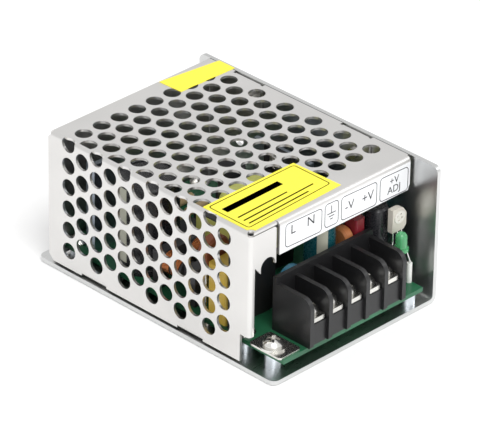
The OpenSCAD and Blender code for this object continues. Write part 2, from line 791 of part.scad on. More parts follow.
trimmer_x = board_x1 - 1.7;
trimmer_y1 = cover_y0 - 0.02;
trimmer_y0 = trimmer_y1 - trimmer_depth;
trimmer_z = board_z1 + trimmer_rise;
rotor_z = trimmer_z + 3.9;
rotor_t = 0.9;
axle_d = 1.4;
// Moulded housing with a shallow round well in its face
module trimmer_housing() color("wheat") {
    difference() {
        sheet_xz(trimmer_y0, trimmer_depth) translate([trimmer_x - trimmer_w / 2, trimmer_z])
            polygon([
                [0, 0],
                [trimmer_w - 0.9, 0],
                [trimmer_w, 1],
                [trimmer_w, trimmer_h - 2.1],
                [trimmer_w - 1.2, trimmer_h - 0.4],
                [trimmer_w * 0.55, trimmer_h],
                [0, trimmer_h]]);
        translate([trimmer_x, trimmer_y0 - 1, rotor_z]) rotate([-90, 0, 0]) {
            cylinder(d = rotor_d + 2 * seat_clear, h = 1 + rotor_t);
            cylinder(d = axle_d + 2 * seat_clear, h = 1 + 2 * trimmer_depth);
        }
    }
}

// Slotted rotor with its axle, riveted over behind the housing
module trimmer_rotor() color("ivory") {
    translate([trimmer_x, trimmer_y0, rotor_z]) rotate([-90, 0, 0]) {
        difference() {
            translate([0, 0, -0.15]) cylinder(d = rotor_d, h = rotor_t + 0.1);
            translate([0, 0, -0.15]) rotate([0, 180, 25]) cross_recess(rotor_d * 0.62, 0.55, 0.4);
        }
        cylinder(d = axle_d, h = trimmer_depth + 0.1);
        translate([0, 0, trimmer_depth + 0.05]) cylinder(d = axle_d + 0.8, h = 0.3);
    }
}

// ---- components on the board ----

// Places on the board, from its front left corner
function on_board(x, y) = [board_x0 + x, board_y0 + y];
bulk_at = on_board(9, 56.7);
output_caps_at = [on_board(30.1, 17.4), on_board(43.6, 23.6)];
small_cap_at = [board_x1 - 4.1, board_y0 + 13];
film_at = on_board(7.3, 24);
coupling_size = [3.3, 4.4, 18.5];
coupling_at = [board_x0 + 39.7, block_y1 + 0.4 + half(coupling_size.y)];
varistor_at = on_board(18.4, 15.4);
disc_leg_d = 1.3;
disc_leg_gap = 2.5;   // from the middle of a disc to each of its legs
disc_at = [board_x0 + 36.3, block_y1 + 0.2 + disc_leg_gap + half(disc_leg_d)];
thermistor_at = on_board(5.6, 30);
transformer_at = on_board(28, 37.8);
choke_at = on_board(8.2, 40);
fuse_at = on_board(17, 30);
bridge_at = on_board(24, 58);
sink_at = [board_x0 + 12, board_y1 - 9.6];
rectifier_at = [board_x1 - 4.1, board_y0 + 46];
chip_at = on_board(34, 58);
opto_at = on_board(24, 22.4);
inductor_at = [board_x1 - 6.1, board_y0 + 62];
resistors_at = [for (y = [13, 8], x = [23.5, 14.5]) [board_x1 - x, board_y1 - y]];

// Aluminium can in a sleeve, with its rubber-side groove and a vented top
can_rim = 0.5;
module can(d, h) {
    difference() {
        rotate_extrude() difference() {
            square([d / 2, h]);
            translate([d / 2 + 0.1, 1.9]) circle(0.45);
            translate([d / 2, h]) rotate(45) square(can_rim * sqrt(2), center = true);
        }
        translate([0, 0, h - 0.2]) cylinder(d = d - 3 * can_rim, h = 1);
    }
}

module can_at(p, d, h) {
    translate([p.x, p.y, board_z1]) can(d, h);
}

module bulk_capacitor() color([0.1, 0.1, 0.12]) can_at(bulk_at, bulk_d, bulk_h);
module output_capacitors() color([0.1, 0.3, 0.35])
    for (p = output_caps_at) can_at(p, output_cap_d, output_cap_h);
module small_capacitor() color([0.1, 0.1, 0.1]) can_at(small_cap_at, small_cap_d, output_cap_h);

module film_capacitor() color([0.8, 0.65, 0.2])
    translate([film_at.x - film_cap_size.x / 2, film_at.y - film_cap_size.y / 2, board_z1])
        rounded_block(film_cap_size, 0.8);

module coupling_capacitor() color([0.4, 0.08, 0.1])
    translate([coupling_at.x - coupling_size.x / 2, coupling_at.y - coupling_size.y / 2, board_z1])
        rounded_block(coupling_size, 0.7);

// Coated disc standing on edge, with two short coated legs; faces along Y, or X if turned
module disc(d, t, rise, turn) {
    rotate(turn) {
        translate([0, t / 2, rise]) rotate([90, 0, 0]) difference() {
            cylinder(d = d, h = t);
            for (z = [0, t]) translate([0, 0, z]) rotate_extrude()
                translate([d / 2, 0]) rotate(45) square(0.8, center = true);
        }
        for (s = [-1, 1]) translate([s * disc_leg_gap, 0, disc_leg_z(d, rise)])
            cylinder(d = disc_leg_d, h = 1.2);
    }
}
function disc_leg_z(d, rise) = rise - sqrt(pow(d / 2, 2) - pow(min(disc_leg_gap, d / 2 - 0.3), 2)) - 0.6;

varistor_d = 8;
varistor_rise = 8.5;
disc_d = 5.6;
disc_rise = 13.7;
thermistor_d = 9;
thermistor_rise = 16;
module varistor() color([0.25, 0.5, 0.65])
    translate([varistor_at.x, varistor_at.y, board_z1]) disc(varistor_d, 3.6, varistor_rise, 0);
module disc_capacitor() color([0.75, 0.35, 0.2])
    translate([disc_at.x, disc_at.y, board_z1]) disc(disc_d, 2.8, disc_rise, 90);
module inrush_thermistor() color([0.45, 0.2, 0.12])
    translate([thermistor_at.x, thermistor_at.y, board_z1]) disc(thermistor_d, 3.2, thermistor_rise, 0);

// ---- transformer: two E cores, tape, bobbin and winding ----

core_leg = 3;       // outer legs and the back of each E
core_mid = 5.6;     // centre leg
core_z = board_z1 + core_rise;
winding_w = core_size.x - 2 * core_leg - 0.8;
winding_h = 18.6;
bobbin_wall = 0.8;
function half(v) = v / 2;

// Two ferrite halves that meet at the middle of their legs
module transformer_core() color([0.22, 0.22, 0.22]) {
    for (s = [0, 180]) translate([transformer_at.x, transformer_at.y, core_z - half(core_size.z)])
        rotate(s) linear_extrude(core_size.z) translate([-half(core_size.x), 0.02]) difference() {
            square([core_size.x, half(core_size.y) - 0.02]);
            for (x = [core_leg, half(core_size.x + core_mid)]) translate([x, -1])
                square([half(core_size.x - core_mid) - core_leg, half(core_size.y) - core_leg + 1]);
        }
}

// Yellow tape round the outside of the core
tape_t = 0.2;
module core_tape() color([0.85, 0.85, 0.35]) {
    translate([transformer_at.x - half(core_size.x) - tape_t,
               transformer_at.y - half(core_size.y) - tape_t, core_z - half(core_size.z) + 0.4])
        linear_extrude(core_size.z - 0.8) difference() {
            square([core_size.x + 2 * tape_t, core_size.y + 2 * tape_t]);
            translate([tape_t, tape_t]) square([core_size.x, core_size.y]);
        }
}

// Bobbin: tube round the centre leg, end flanges and two pin rails
bobbin_len = core_size.y - 2 * core_leg - 0.4;
module transformer_bobbin() color([0.12, 0.12, 0.12]) {
    tube = [core_mid + 0.2 + 2 * bobbin_wall, bobbin_len, core_size.z + 0.2 + 2 * bobbin_wall];
    translate([transformer_at.x, transformer_at.y, core_z]) difference() {
        union() {
            cube(tube, center = true);
            for (s = [-1, 1]) translate([0, s * half(bobbin_len - bobbin_wall), 0])
                cube([winding_w + 0.3, bobbin_wall, winding_h + 0.8], center = true);
        }
        cube([core_mid + 0.2, bobbin_len + 2, core_size.z + 0.2], center = true);
    }
    for (s = [-1, 1])
        translate([transformer_at.x - half(winding_w), rail_y(s) - half(rail_w), board_z1])
            cube([winding_w, rail_w, core_z - half(winding_h) - board_z1 - 0.1]);
}
rail_w = 3.4;
function rail_y(s) = transformer_at.y + s * (half(bobbin_len) - half(rail_w));

// Wound coil under its yellow tape: a rounded block round the bobbin's tube
module transformer_winding() color([0.85, 0.85, 0.35]) {
    tube = [core_mid + 0.2 + 2 * bobbin_wall + 0.1, core_size.z + 0.2 + 2 * bobbin_wall + 0.1];
    depth = bobbin_len - 2 * bobbin_wall - 0.1;
    translate([transformer_at.x, transformer_at.y + half(depth), core_z]) rotate([90, 0, 0])
        linear_extrude(depth) difference() {
            translate([-half(winding_w), -half(winding_h)]) plan(winding_w, winding_h, [3, 3, 3, 3]);
            square(tube, center = true);
        }
}

// ---- line choke: closed core, two-chamber bobbin, two windings ----

choke_core_size = [13, 15, 4];   // across, along, thick
choke_rise = 8.4;
choke_window = [6.4, 8.2];
choke_leg = (choke_core_size.x - choke_window.x) / 2;
choke_z = board_z1 + choke_rise;
choke_coil_d = 9;
choke_coil_l = 3.4;
module choke_core() color([0.18, 0.18, 0.2])
    translate([choke_at.x, choke_at.y, choke_z - half(choke_core_size.z)])
        linear_extrude(choke_core_size.z) difference() {
            square([choke_core_size.x, choke_core_size.y], center = true);
            square(choke_window, center = true);
        }

// Bobbin on the two long legs, standing on four feet
module choke_bobbin() color([0.1, 0.1, 0.1]) {
    for (s = [-1, 1]) translate([choke_leg_x(s), choke_at.y, choke_z]) rotate([90, 0, 0]) difference() {
        union() {
            for (z = [-half(choke_window.y) + 0.5, -0.4, half(choke_window.y) - 1.3])
                translate([0, 0, z]) cylinder(d = 5.9, h = 0.8);
            translate([0, 0, -half(choke_window.y) + 0.5]) cylinder(d = 5.7, h = choke_window.y - 1);
        }
        translate([-half(choke_leg) - 0.05, -half(choke_core_size.z) - 0.05, -choke_window.y])
            cube([choke_leg + 0.1, choke_core_size.z + 0.1, 2 * choke_window.y]);
    }
    for (sx = [-1, 1], sy = [-1, 1])
        translate([choke_at.x + sx * half(choke_core_size.x - 3), choke_at.y + sy * half(choke_core_size.y - 2.6), board_z1])
            translate([-1.5, -1.3, 0]) cube([3, 2.6, choke_rise - half(choke_core_size.z)]);
}
function choke_leg_x(s) = choke_at.x + s * half(choke_window.x + choke_leg);

// Enamelled copper, two sections on each leg
module choke_windings() color([0.55, 0.25, 0.12]) {
    for (s = [-1, 1]) translate([choke_leg_x(s), choke_at.y, choke_z]) rotate([90, 0, 0])
        for (z = [-half(choke_window.y) + 1.3, 0.4]) translate([0, 0, z]) difference() {
            cylinder(d = 6.3, h = half(choke_window.y) - 1.7);
            translate([0, 0, -1]) cylinder(d = 5.75, h = 10);
        }
}

// ---- fuse, rectifiers, heat sinks, chips ----

fuse_d = 3.6;
fuse_l = 10;
// Axial fuse lying on the board
module fuse() color([0.55, 0.6, 0.55])
    translate([fuse_at.x, fuse_at.y + half(fuse_l), board_z1 + half(fuse_d)]) rotate([90, 0, 0])
        cylinder(d = fuse_d, h = fuse_l);

chip_rise = 0.5;   // from the board to the bodies of the chips
bridge_size = [8.3, 6.4, 3.1];
module bridge_rectifier() color([0.12, 0.12, 0.12])
    translate([bridge_at.x - half(bridge_size.x), bridge_at.y - half(bridge_size.y), board_z1 + chip_rise])
        rounded_block(bridge_size, 0.4);

sink_w = 19;
sink_fin = 3;
// Aluminium plate with a folded edge, standing on the board
module heat_sink() color([0.62, 0.66, 0.7]) difference() {
    translate([sink_at.x - half(sink_w), sink_at.y, board_z1]) {
        cube([sink_w, sink_t, sink_h]);
        cube([sink_t, sink_fin, sink_h]);
    }
    translate([transistor_x, sink_at.y - 1, board_z1 + sink_screw_z]) rotate([-90, 0, 0])
        cylinder(d = 3.2, h = sink_t + 2);
}
transistor_x = sink_at.x + 4;
sink_screw_z = 19.5;

package = [10, 4.4, 9];       // plastic body of a transistor
package_tab = [10, 1.3, 15.4]; // its metal tab
package_rise = 7;
// Power package with its mounting tab against y = 0 and its legs down
module power_package() {
    difference() {
        union() {
            translate([-half(package.x), 0, 0]) cube(package);
            translate([-half(package_tab.x), 0, 0]) cube(package_tab);
        }
        translate([0, -1, sink_screw_z - package_rise]) rotate([-90, 0, 0]) cylinder(d = 3.2, h = 8);
    }
}

module switch_transistor() color([0.15, 0.15, 0.15])
    translate([transistor_x, sink_at.y + sink_t, board_z1 + package_rise]) power_package();

rectifier_sink_w = 20;
module rectifier_sink() color([0.62, 0.66, 0.7]) difference() {
    translate([rectifier_at.x, rectifier_at.y - half(rectifier_sink_w), board_z1])
        cube([sink_t, rectifier_sink_w, sink_h - 3]);
    translate([rectifier_at.x - 1, rectifier_at.y, board_z1 + sink_screw_z]) rotate([0, 90, 0])
        cylinder(d = 3.2, h = sink_t + 2);
}

module output_rectifier() color([0.15, 0.15, 0.15])
    translate([rectifier_at.x, rectifier_at.y, board_z1 + package_rise]) rotate(90) power_package();

// One pan-head screw on each power package
module transistor_screws() color("silver") {
    translate([transistor_x, sink_at.y + sink_t + package_tab.y, board_z1 + sink_screw_z])
        rotate([-90, 0, 0]) small_screw();
    translate([rectifier_at.x - package_tab.y, rectifier_at.y, board_z1 + sink_screw_z])
        rotate([0, -90, 0]) small_screw();
}

module small_screw() {
    difference() {
        dome_head(5, 1.8, 0.6);
        translate([0, 0, 1.8]) cross_recess(3, 0.8, 1);
    }
    translate([0, 0, -package_tab.y - sink_t - 1.2]) cylinder(d = 3, h = package_tab.y + sink_t + 1.2 + eps);
}

chip_size = [9.4, 6.4, 3.4];
module control_chip() color([0.1, 0.1, 0.1])
    translate([chip_at.x - half(chip_size.x), chip_at.y - half(chip_size.y), board_z1 + chip_rise])
        difference() {
            rounded_block(chip_size, 0.2);
            translate([0, half(chip_size.y), chip_size.z - 0.3]) cylinder(d = 1.6, h = 1);
        }

opto_size = [6.4, 4.6, 3.5];
module optocoupler() color([0.1, 0.1, 0.1])
    translate([opto_at.x - half(opto_size.x), opto_at.y - half(opto_size.y), board_z1 + chip_rise])
        rounded_block(opto_size, 0.2);

// Rod inductor: ferrite bobbin with a copper winding in a sleeve
inductor_d = 7.6;
inductor_h = 12;
module output_inductor() color([0.2, 0.2, 0.2])
    translate([inductor_at.x, inductor_at.y, board_z1]) {
        cylinder(d = inductor_d, h = 1.2);
        cylinder(d = inductor_d - 0.8, h = inductor_h);
        translate([0, 0, inductor_h - 1.2]) cylinder(d = inductor_d, h = 1.2);
    }

resistor_d = 2.4;
resistor_l = 6.4;
module resistors() color([0.8, 0.7, 0.5])
    for (p = resistors_at) translate([p.x - half(resistor_l), p.y, board_z1 + half(resistor_d)])
        rotate([0, 90, 0]) cylinder(d = resistor_d, h = resistor_l);

// ---- leads: [x, y, height of the upper end] ----

function pair(p, dx, dy, z) = [for (s = [-1, 1]) [p.x + s * dx, p.y + s * dy, z]];
function dual_row(p, n, pitch, span) = [for (i = [0:n - 1], s = [-1, 1])
    [p.x + (i - (n - 1) / 2) * pitch, p.y + s * span / 2, board_z1 + chip_rise]];
round_leads = concat(
    pair(bulk_at, 3.75, 0, board_z1),
    pair(output_caps_at[0], 1.75, 0, board_z1),
    pair(output_caps_at[1], 1.75, 0, board_z1),
    pair(small_cap_at, 1.25, 0, board_z1),
    pair(film_at, 5, 0, board_z1),
    pair(coupling_at, 0, 1.6, board_z1),
    pair(varistor_at, disc_leg_gap, 0, board_z1 + disc_leg_z(varistor_d, varistor_rise)),
    pair(disc_at, 0, disc_leg_gap, board_z1 + disc_leg_z(disc_d, disc_rise)),
    pair(thermistor_at, disc_leg_gap, 0, board_z1 + disc_leg_z(thermistor_d, thermistor_rise)),
    pair(inductor_at, 0, 2.5, board_z1),
    [for (i = [-1:1]) [transistor_x + i * 2.54, sink_at.y + sink_t + 2.6, board_z1 + package_rise]],
    [for (i = [-1:1]) [rectifier_at.x - 2.6, rectifier_at.y + i * 2.54, board_z1 + package_rise]],
    [for (s = [-1, 1], i = [-2:2]) [transformer_at.x + i * 2.8, rail_y(s), board_z1]],
    [for (sx = [-1, 1], sy = [-1, 1]) [choke_at.x + sx * half(choke_core_size.x - 3),
        choke_at.y + sy * half(choke_core_size.y - 2.6), board_z1]],
    dual_row(bridge_at, 2, 5.1, 5),
    dual_row(chip_at, 4, 2.54, 5),
    dual_row(opto_at, 2, 2.54, 3.4));
// bent leads of the parts that lie down: [x, y, height of the part's axis, direction]
bent_leads = concat(
    [for (s = [-1, 1]) [fuse_at.x, fuse_at.y + s * (half(fuse_l) + 1.6), board_z1 + half(fuse_d), s * 90]],
    [for (p = resistors_at, s = [-1, 1])
        [p.x + s * (half(resistor_l) + 0.9), p.y, board_z1 + half(resistor_d), s > 0 ? 0 : 180]]);
lamp_holes = [for (x = sleeve_x) [x, lamp_lead_y]];
trimmer_holes = [for (dx = [-1.6, 0, 1.6])
    [trimmer_x + dx, (trimmer_y0 + trimmer_y1) / 2, trimmer_z]];
board_leads = concat(round_leads, bent_leads, lamp_holes, trimmer_holes);

module component_leads() color("lightgray") {
    for (l = concat(round_leads, trimmer_holes)) translate([l.x, l.y, board_z0 - lead_stub])
        cylinder(d = lead_d, h = l.z - board_z0 + lead_stub);
    for (l = bent_leads) translate([l.x, l.y, 0]) {
        translate([0, 0, board_z0 - lead_stub]) cylinder(d = lead_d, h = l.z - board_z0 + lead_stub);
        translate([0, 0, l.z]) sphere(d = lead_d);
        translate([0, 0, l.z]) rotate(l[3]) rotate([0, -90, 0])
            cylinder(d = lead_d, h = abs(l[3]) == 90 ? 1.6 : 0.9);
    }
}

base_chassis();
perforated_cover();
cover_side();
cover_back();
cover_front();
cover_tabs();
cover_screws();
legend_plate();
service_label();
seam_sticker();
circuit_board();
board_standoffs();
board_screws();
earth_washer();
earth_tab();
insulating_barrier();
terminal_block();
terminal_contacts();
wire_clamp(1);  // clamp_1
wire_clamp(2);  // clamp_2
wire_clamp(3);  // clamp_3
wire_clamp(4);  // clamp_4
wire_clamp(5);  // clamp_5
terminal_screw(1);  // terminal_screw_1
terminal_screw(2);  // terminal_screw_2
terminal_screw(3);  // terminal_screw_3
terminal_screw(4);  // terminal_screw_4
terminal_screw(5);  // terminal_screw_5
indicator_lamp();
lamp_leads();
lead_sleeves();
trimmer_housing();
trimmer_rotor();
bulk_capacitor();
output_capacitors();
small_capacitor();
film_capacitor();
coupling_capacitor();
varistor();
disc_capacitor();
inrush_thermistor();
transformer_core();
core_tape();
transformer_bobbin();
transformer_winding();
choke_core();
choke_bobbin();
choke_windings();
fuse();
bridge_rectifier();
heat_sink();
switch_transistor();
output_rectifier();
rectifier_sink();
transistor_screws();
control_chip();
optocoupler();
output_inductor();
resistors();
component_leads();
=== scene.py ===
from math import radians, sin, cos, pi
import bpy
import numpy as np
from mathutils import Matrix, Vector


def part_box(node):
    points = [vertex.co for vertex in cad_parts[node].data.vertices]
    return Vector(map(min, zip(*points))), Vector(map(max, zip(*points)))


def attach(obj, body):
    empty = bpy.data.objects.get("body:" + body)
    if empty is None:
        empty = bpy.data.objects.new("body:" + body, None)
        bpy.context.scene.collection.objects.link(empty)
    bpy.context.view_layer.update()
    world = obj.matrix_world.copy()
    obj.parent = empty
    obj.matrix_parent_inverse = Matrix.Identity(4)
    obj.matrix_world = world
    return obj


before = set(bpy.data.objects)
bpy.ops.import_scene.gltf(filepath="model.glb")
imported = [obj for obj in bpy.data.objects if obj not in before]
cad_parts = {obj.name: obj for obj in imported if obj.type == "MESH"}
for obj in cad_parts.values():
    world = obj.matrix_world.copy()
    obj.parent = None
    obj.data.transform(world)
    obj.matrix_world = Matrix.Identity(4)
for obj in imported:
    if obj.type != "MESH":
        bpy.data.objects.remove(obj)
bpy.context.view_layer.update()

# Camera: long lens at the front left of the case, a little above it, with the
# terminals towards the lower right.
camera = bpy.data.objects.new("camera", bpy.data.cameras.new("camera"))
bpy.context.collection.objects.link(camera)
bpy.context.scene.camera = camera
camera.data.lens, camera.data.sensor_width, camera.data.clip_end = 313.1, 36.0, 20.0
azimuth, elevation, roll = radians(-45.486), radians(30.276), radians(0.847)
back = Vector((sin(azimuth) * cos(elevation), -cos(azimuth) * cos(elevation), sin(elevation)))
right = (-back).cross(Vector((0, 0, 1))).normalized()
up = right.cross(-back)
right, up = right * cos(roll) + up * sin(roll), up * cos(roll) - right * sin(roll)
pose = Matrix((right, up, back)).transposed().to_4x4()
pose.translation = Vector((-0.64505, -0.6352, 0.5462))
camera.matrix_world = pose

# Studio: a pale floor under the case, even light from the room, one broad lamp above the
# front left and a weaker one on the right.
world = bpy.data.worlds.new("room")
bpy.context.scene.world = world
world.use_nodes = True
world.node_tree.nodes["Background"].inputs["Color"].default_value = (1, 1, 1, 1)
world.node_tree.nodes["Background"].inputs["Strength"].default_value = 0.85
bpy.context.scene.view_settings.view_transform = "Standard"


def studio_lamp(name, place, size, power):
    """Square area lamp at place, aimed at the middle of the case."""
    lamp = bpy.data.objects.new(name, bpy.data.lights.new(name, "AREA"))
    bpy.context.collection.objects.link(lamp)
    lamp.data.size, lamp.data.energy = size, power
    lamp.location = place
    lamp.rotation_euler = (Vector(place) - Vector((0, 0, 0.02))).to_track_quat("Z", "Y").to_euler()


studio_lamp("key_lamp", (-0.25, -0.45, 0.75), 0.5, 4.5)
studio_lamp("side_lamp", (0.7, -0.3, 0.35), 0.4, 1.6)


def grid_mesh(name, points, close_u=False, close_v=False):
    """Surface through a grid of points (rows u, columns v); quads join each to the next."""
    nu, nv = points.shape[:2]
    u = np.arange(nu if close_u else nu - 1)
    v = np.arange(nv if close_v else nv - 1)
    a, b = np.meshgrid(u, v, indexing="ij")
    c, d = (a + 1) % nu, (b + 1) % nv
    quads = np.stack([a * nv + b, a * nv + d, c * nv + d, c * nv + b], -1).reshape(-1, 4)
    mesh = bpy.data.meshes.new(name)
    mesh.from_pydata(points.reshape(-1, 3).tolist(), [], quads.tolist())
    piece = bpy.data.objects.new(name, mesh)
    bpy.context.collection.objects.link(piece)
    return piece


def finish(name, colour, rough, metal=0.0, patch=0.08, grain=(400, 400, 400), dent=0.15,
           depth=0.00002, **sockets):
    """Colour = colour x (1 +/- patch x noise); gloss and bump from a finer noise of the grain."""
    mat = bpy.data.materials.new(name)
    mat.use_nodes = True
    nodes, links = mat.node_tree.nodes, mat.node_tree.links
    shader = nodes["Principled BSDF"]
    shader.inputs["Metallic"].default_value = metal
    for socket, value in sockets.items():
        shader.inputs[socket.replace("_", " ")].default_value = value
    place = nodes.new("ShaderNodeTexCoord").outputs["Object"]
    stretch = nodes.new("ShaderNodeMapping")
    stretch.inputs["Scale"].default_value = grain
    links.new(place, stretch.inputs["Vector"])
    broad, fine = nodes.new("ShaderNodeTexNoise"), nodes.new("ShaderNodeTexNoise")
    broad.inputs["Scale"].default_value, fine.inputs["Scale"].default_value = 45.0, 6.0
    fine.inputs["Detail"].default_value = 4.0
    links.new(place, broad.inputs["Vector"])
    links.new(stretch.outputs["Vector"], fine.inputs["Vector"])
    tint = nodes.new("ShaderNodeValToRGB")
    tint.color_ramp.elements[0].position, tint.color_ramp.elements[1].position = 0.3, 0.7
    tint.color_ramp.elements[0].color = (*[c * (1 - patch) for c in colour], 1)
    tint.color_ramp.elements[1].color = (*[min(1, c * (1 + patch)) for c in colour], 1)
    links.new(broad.outputs["Fac"], tint.inputs["Fac"])
    links.new(tint.outputs["Color"], shader.inputs["Base Color"])
    sheen = nodes.new("ShaderNodeMapRange")
    sheen.inputs["To Min"].default_value = max(0.05, rough - 0.08)
    sheen.inputs["To Max"].default_value = min(1.0, rough + 0.08)
    links.new(fine.outputs["Fac"], sheen.inputs["Value"])
    links.new(sheen.outputs["Result"], shader.inputs["Roughness"])
    bump = nodes.new("ShaderNodeBump")
    bump.inputs["Strength"].default_value, bump.inputs["Distance"].default_value = dent, depth
    links.new(fine.outputs["Fac"], bump.inputs["Height"])
    links.new(bump.outputs["Normal"], shader.inputs["Normal"])
    return mat


def dress(mat, *names):
    """Gives these parts of the frame this finish."""
    for name in names:
        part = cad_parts[name]
        if not part.data.materials:
            part.data.materials.append(mat)
        for slot in part.material_slots:
            slot.material = mat


floor_line = np.linspace(-3, 3, 9)
floor_z = -0.0002
floor = grid_mesh("floor", np.stack(
    np.meshgrid(floor_line, floor_line) + [np.full((9, 9), floor_z)], -1))
floor.data.materials.append(finish("pale_floor", (0.93, 0.93, 0.93), 0.7, patch=0.005, dent=0.02))

# Base chassis: floor and side wall folded from one sheet of aluminium, mill finish with fine
# rolling lines along the sheet.
dress(finish("base_sheet_finish", (0.66, 0.665, 0.66), 0.3, 1.0, 0.05, (60, 900, 900), 0.1),
      "base_chassis")

# Cover: pierced and folded from thinner sheet, a little duller, with the grain across the case.
dress(finish("cover_sheet_finish", (0.74, 0.73, 0.715), 0.36, 1.0, 0.05, (900, 60, 900), 0.12),
      "perforated_cover", "cover_side", "cover_back", "cover_front", "cover_tabs")

# Screws, washers and clamps: steel with bright nickel plate, worn a little by the driver.
dress(finish("bright_plate", (0.78, 0.77, 0.74), 0.2, 1.0, 0.08, (500, 500, 500), 0.2),
      "cover_screws", "board_screws", "earth_washer", "transistor_screws",
      *["terminal_screw_%d" % n for n in range(1, 6)])
dress(finish("contact_plate", (0.75, 0.74, 0.7), 0.26, 1.0, 0.1, (700, 700, 200), 0.2),
      "earth_tab", "terminal_contacts", *["clamp_%d" % n for n in range(1, 6)])
dress(finish("post_plate", (0.72, 0.77, 0.82), 0.3, 1.0, 0.06, (200, 200, 900), 0.15),
      "board_standoffs")
dress(finish("tinned_wire", (0.76, 0.76, 0.75), 0.25, 1.0, 0.08, (300, 300, 900), 0.2),
      "component_leads", "lamp_leads")

# Printed plate on the lip: white semi-matt film with dark frames round the terminal marks.
# The marks are the plain ones that such terminals carry.
dress(finish("white_film", (0.86, 0.87, 0.885), 0.38, patch=0.015, dent=0.05), "legend_plate")
ink = finish("dark_ink", (0.03, 0.03, 0.035), 0.5, patch=0.2, dent=0.1)
plate_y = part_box("legend_plate")[0].y
ink_t = 0.00002


def printed(name, paths, width, place):
    """Flat strips of one width: each path is shifted half the width to either side, then lifted."""
    rings, faces, at = [], [], 0
    for path, closed in paths:
        p = np.asarray(path, float)
        ahead = np.roll(p, -1, 0) - p if closed else np.gradient(p, axis=0)
        if closed:
            ahead = ahead + p - np.roll(p, 1, 0)
        side = np.stack([-ahead[:, 1], ahead[:, 0]], 1)
        side *= width / 2 / np.linalg.norm(side, axis=1, keepdims=True)
        n = len(p)
        ring = np.concatenate([np.c_[q, np.full(n, h)]
                               for q in (p - side, p + side) for h in (-ink_t, ink_t)])
        k = np.arange(n if closed else n - 1)
        j = (k + 1) % n
        for a, b in ((0, 2), (2, 3), (3, 1), (1, 0)):
            faces.append(at + np.stack([a * n + j, a * n + k, b * n + k, b * n + j], 1))
        if not closed:
            for e, flip in ((0, 1), (n - 1, -1)):
                faces.append(at + np.array([[e, e + n, e + 3 * n, e + 2 * n][::flip]]))
        rings.append(ring)
        at += 4 * n
    mesh = bpy.data.meshes.new(name)
    mesh.from_pydata(place(np.concatenate(rings)).tolist(), [], np.concatenate(faces).tolist())
    piece = bpy.data.objects.new(name, mesh)
    bpy.context.collection.objects.link(piece)
    piece.data.materials.append(ink)
    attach(piece, "case")


def on_lip(p):
    """Drawing (x, z, lift) to the lip's face, which looks along -Y."""
    return np.stack([p[:, 0], plate_y - p[:, 2], p[:, 1]], 1)


def rounded_frame(x0, x1, z0, z1, r, skew=0.0):
    """Corners of a frame, each a quarter circle of eight points."""
    turn = np.linspace(0, pi / 2, 8)
    corners = [(x1 - r, z1 - r, 0), (x0 + r, z1 - r, pi / 2),
               (x0 + r, z0 + r, pi), (x1 - r, z0 + r, 1.5 * pi)]
    p = np.concatenate([np.c_[x + r * np.cos(turn + a), z + r * np.sin(turn + a)]
                        for x, z, a in corners])
    p[:, 1] -= skew * (p[:, 0] - x0)
    return p * 0.001


frame_r, frame_skew, frame_line = 1.0, 0.03, 0.00022
legend_frames = [(-17.2, -4.6, 30.9, 37.35), (-3.5, 1.2, 30.8, 37.3),
                 (2.3, 14.9, 30.6, 37.1), (16.1, 26.2, 30.3, 36.9)]
printed("legend_frames", [(rounded_frame(*f, frame_r, frame_skew), True) for f in legend_frames],
        frame_line, on_lip)


capital_share = 0.00137   # type size in metres for each millimetre of capital height


def mark(name, words, height, x, z):
    """Letters of the given height, centred on (x, z) mm of the lip."""
    curve = bpy.data.curves.new(name, "FONT")
    curve.body, curve.size, curve.extrude = words, height * capital_share, ink_t
    curve.align_x, curve.align_y, curve.resolution_u = "CENTER", "CENTER", 4
    curve.space_line = 0.85
    flat = bpy.data.objects.new(name + "_flat", curve)
    bpy.context.collection.objects.link(flat)
    bpy.context.view_layer.update()
    depsgraph = bpy.context.evaluated_depsgraph_get()
    mesh = bpy.data.meshes.new_from_object(flat.evaluated_get(depsgraph))
    bpy.data.objects.remove(flat)
    p = np.empty(len(mesh.vertices) * 3)
    mesh.vertices.foreach_get("co", p)
    p = p.reshape(-1, 3) + (x * 0.001, z * 0.001, 0)
    mesh.vertices.foreach_set("co", on_lip(p).ravel())
    mesh.name = name
    piece = bpy.data.objects.new(name, mesh)
    bpy.context.collection.objects.link(piece)
    piece.data.materials.clear()
    piece.data.materials.append(ink)
    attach(piece, "case")


mark("mark_line", "L", 2.7, -14.6, 35.1)
mark("mark_neutral", "N", 2.7, -8.4, 35.0)
mark("mark_minus", "-V", 2.6, 5.2, 33.8)
mark("mark_plus", "+V", 2.6, 11.7, 33.6)
mark("mark_adjust", "+V\nADJ", 2.1, 21.2, 33.4)
earth = [([(-1.2, 36.4), (-1.2, 34.3)], False)] + [
    ([(-1.2 - w, z), (-1.2 + w, z)], False) for w, z in ((1.5, 34.3), (1.0, 33.5), (0.5, 32.7))]
printed("mark_earth", [(np.array(p) * 0.001, c) for p, c in earth], 0.00026, on_lip)

# Yellow labels: thin self-adhesive film. The large one has a plain printed frame and ruled
# lines, the small one over the seam is bare.
dress(finish("yellow_film", (0.9, 0.8, 0.04), 0.36, patch=0.03, dent=0.08),
      "service_label", "seam_sticker")
label_lo, label_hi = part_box("service_label")
slope = -0.0018 / 0.033   # rise of the askew front edge over the label's width
label_l = 0.0174          # from the front edge to the back edge


def on_label(p):
    """Drawing (x from the label's left edge, y from its back edge, lift) to the label's top."""
    return np.stack([label_lo.x + p[:, 0],
                     label_hi.y - p[:, 1] - slope * p[:, 0] * p[:, 1] / label_l,
                     label_hi.z - ink_t + p[:, 2]], 1)


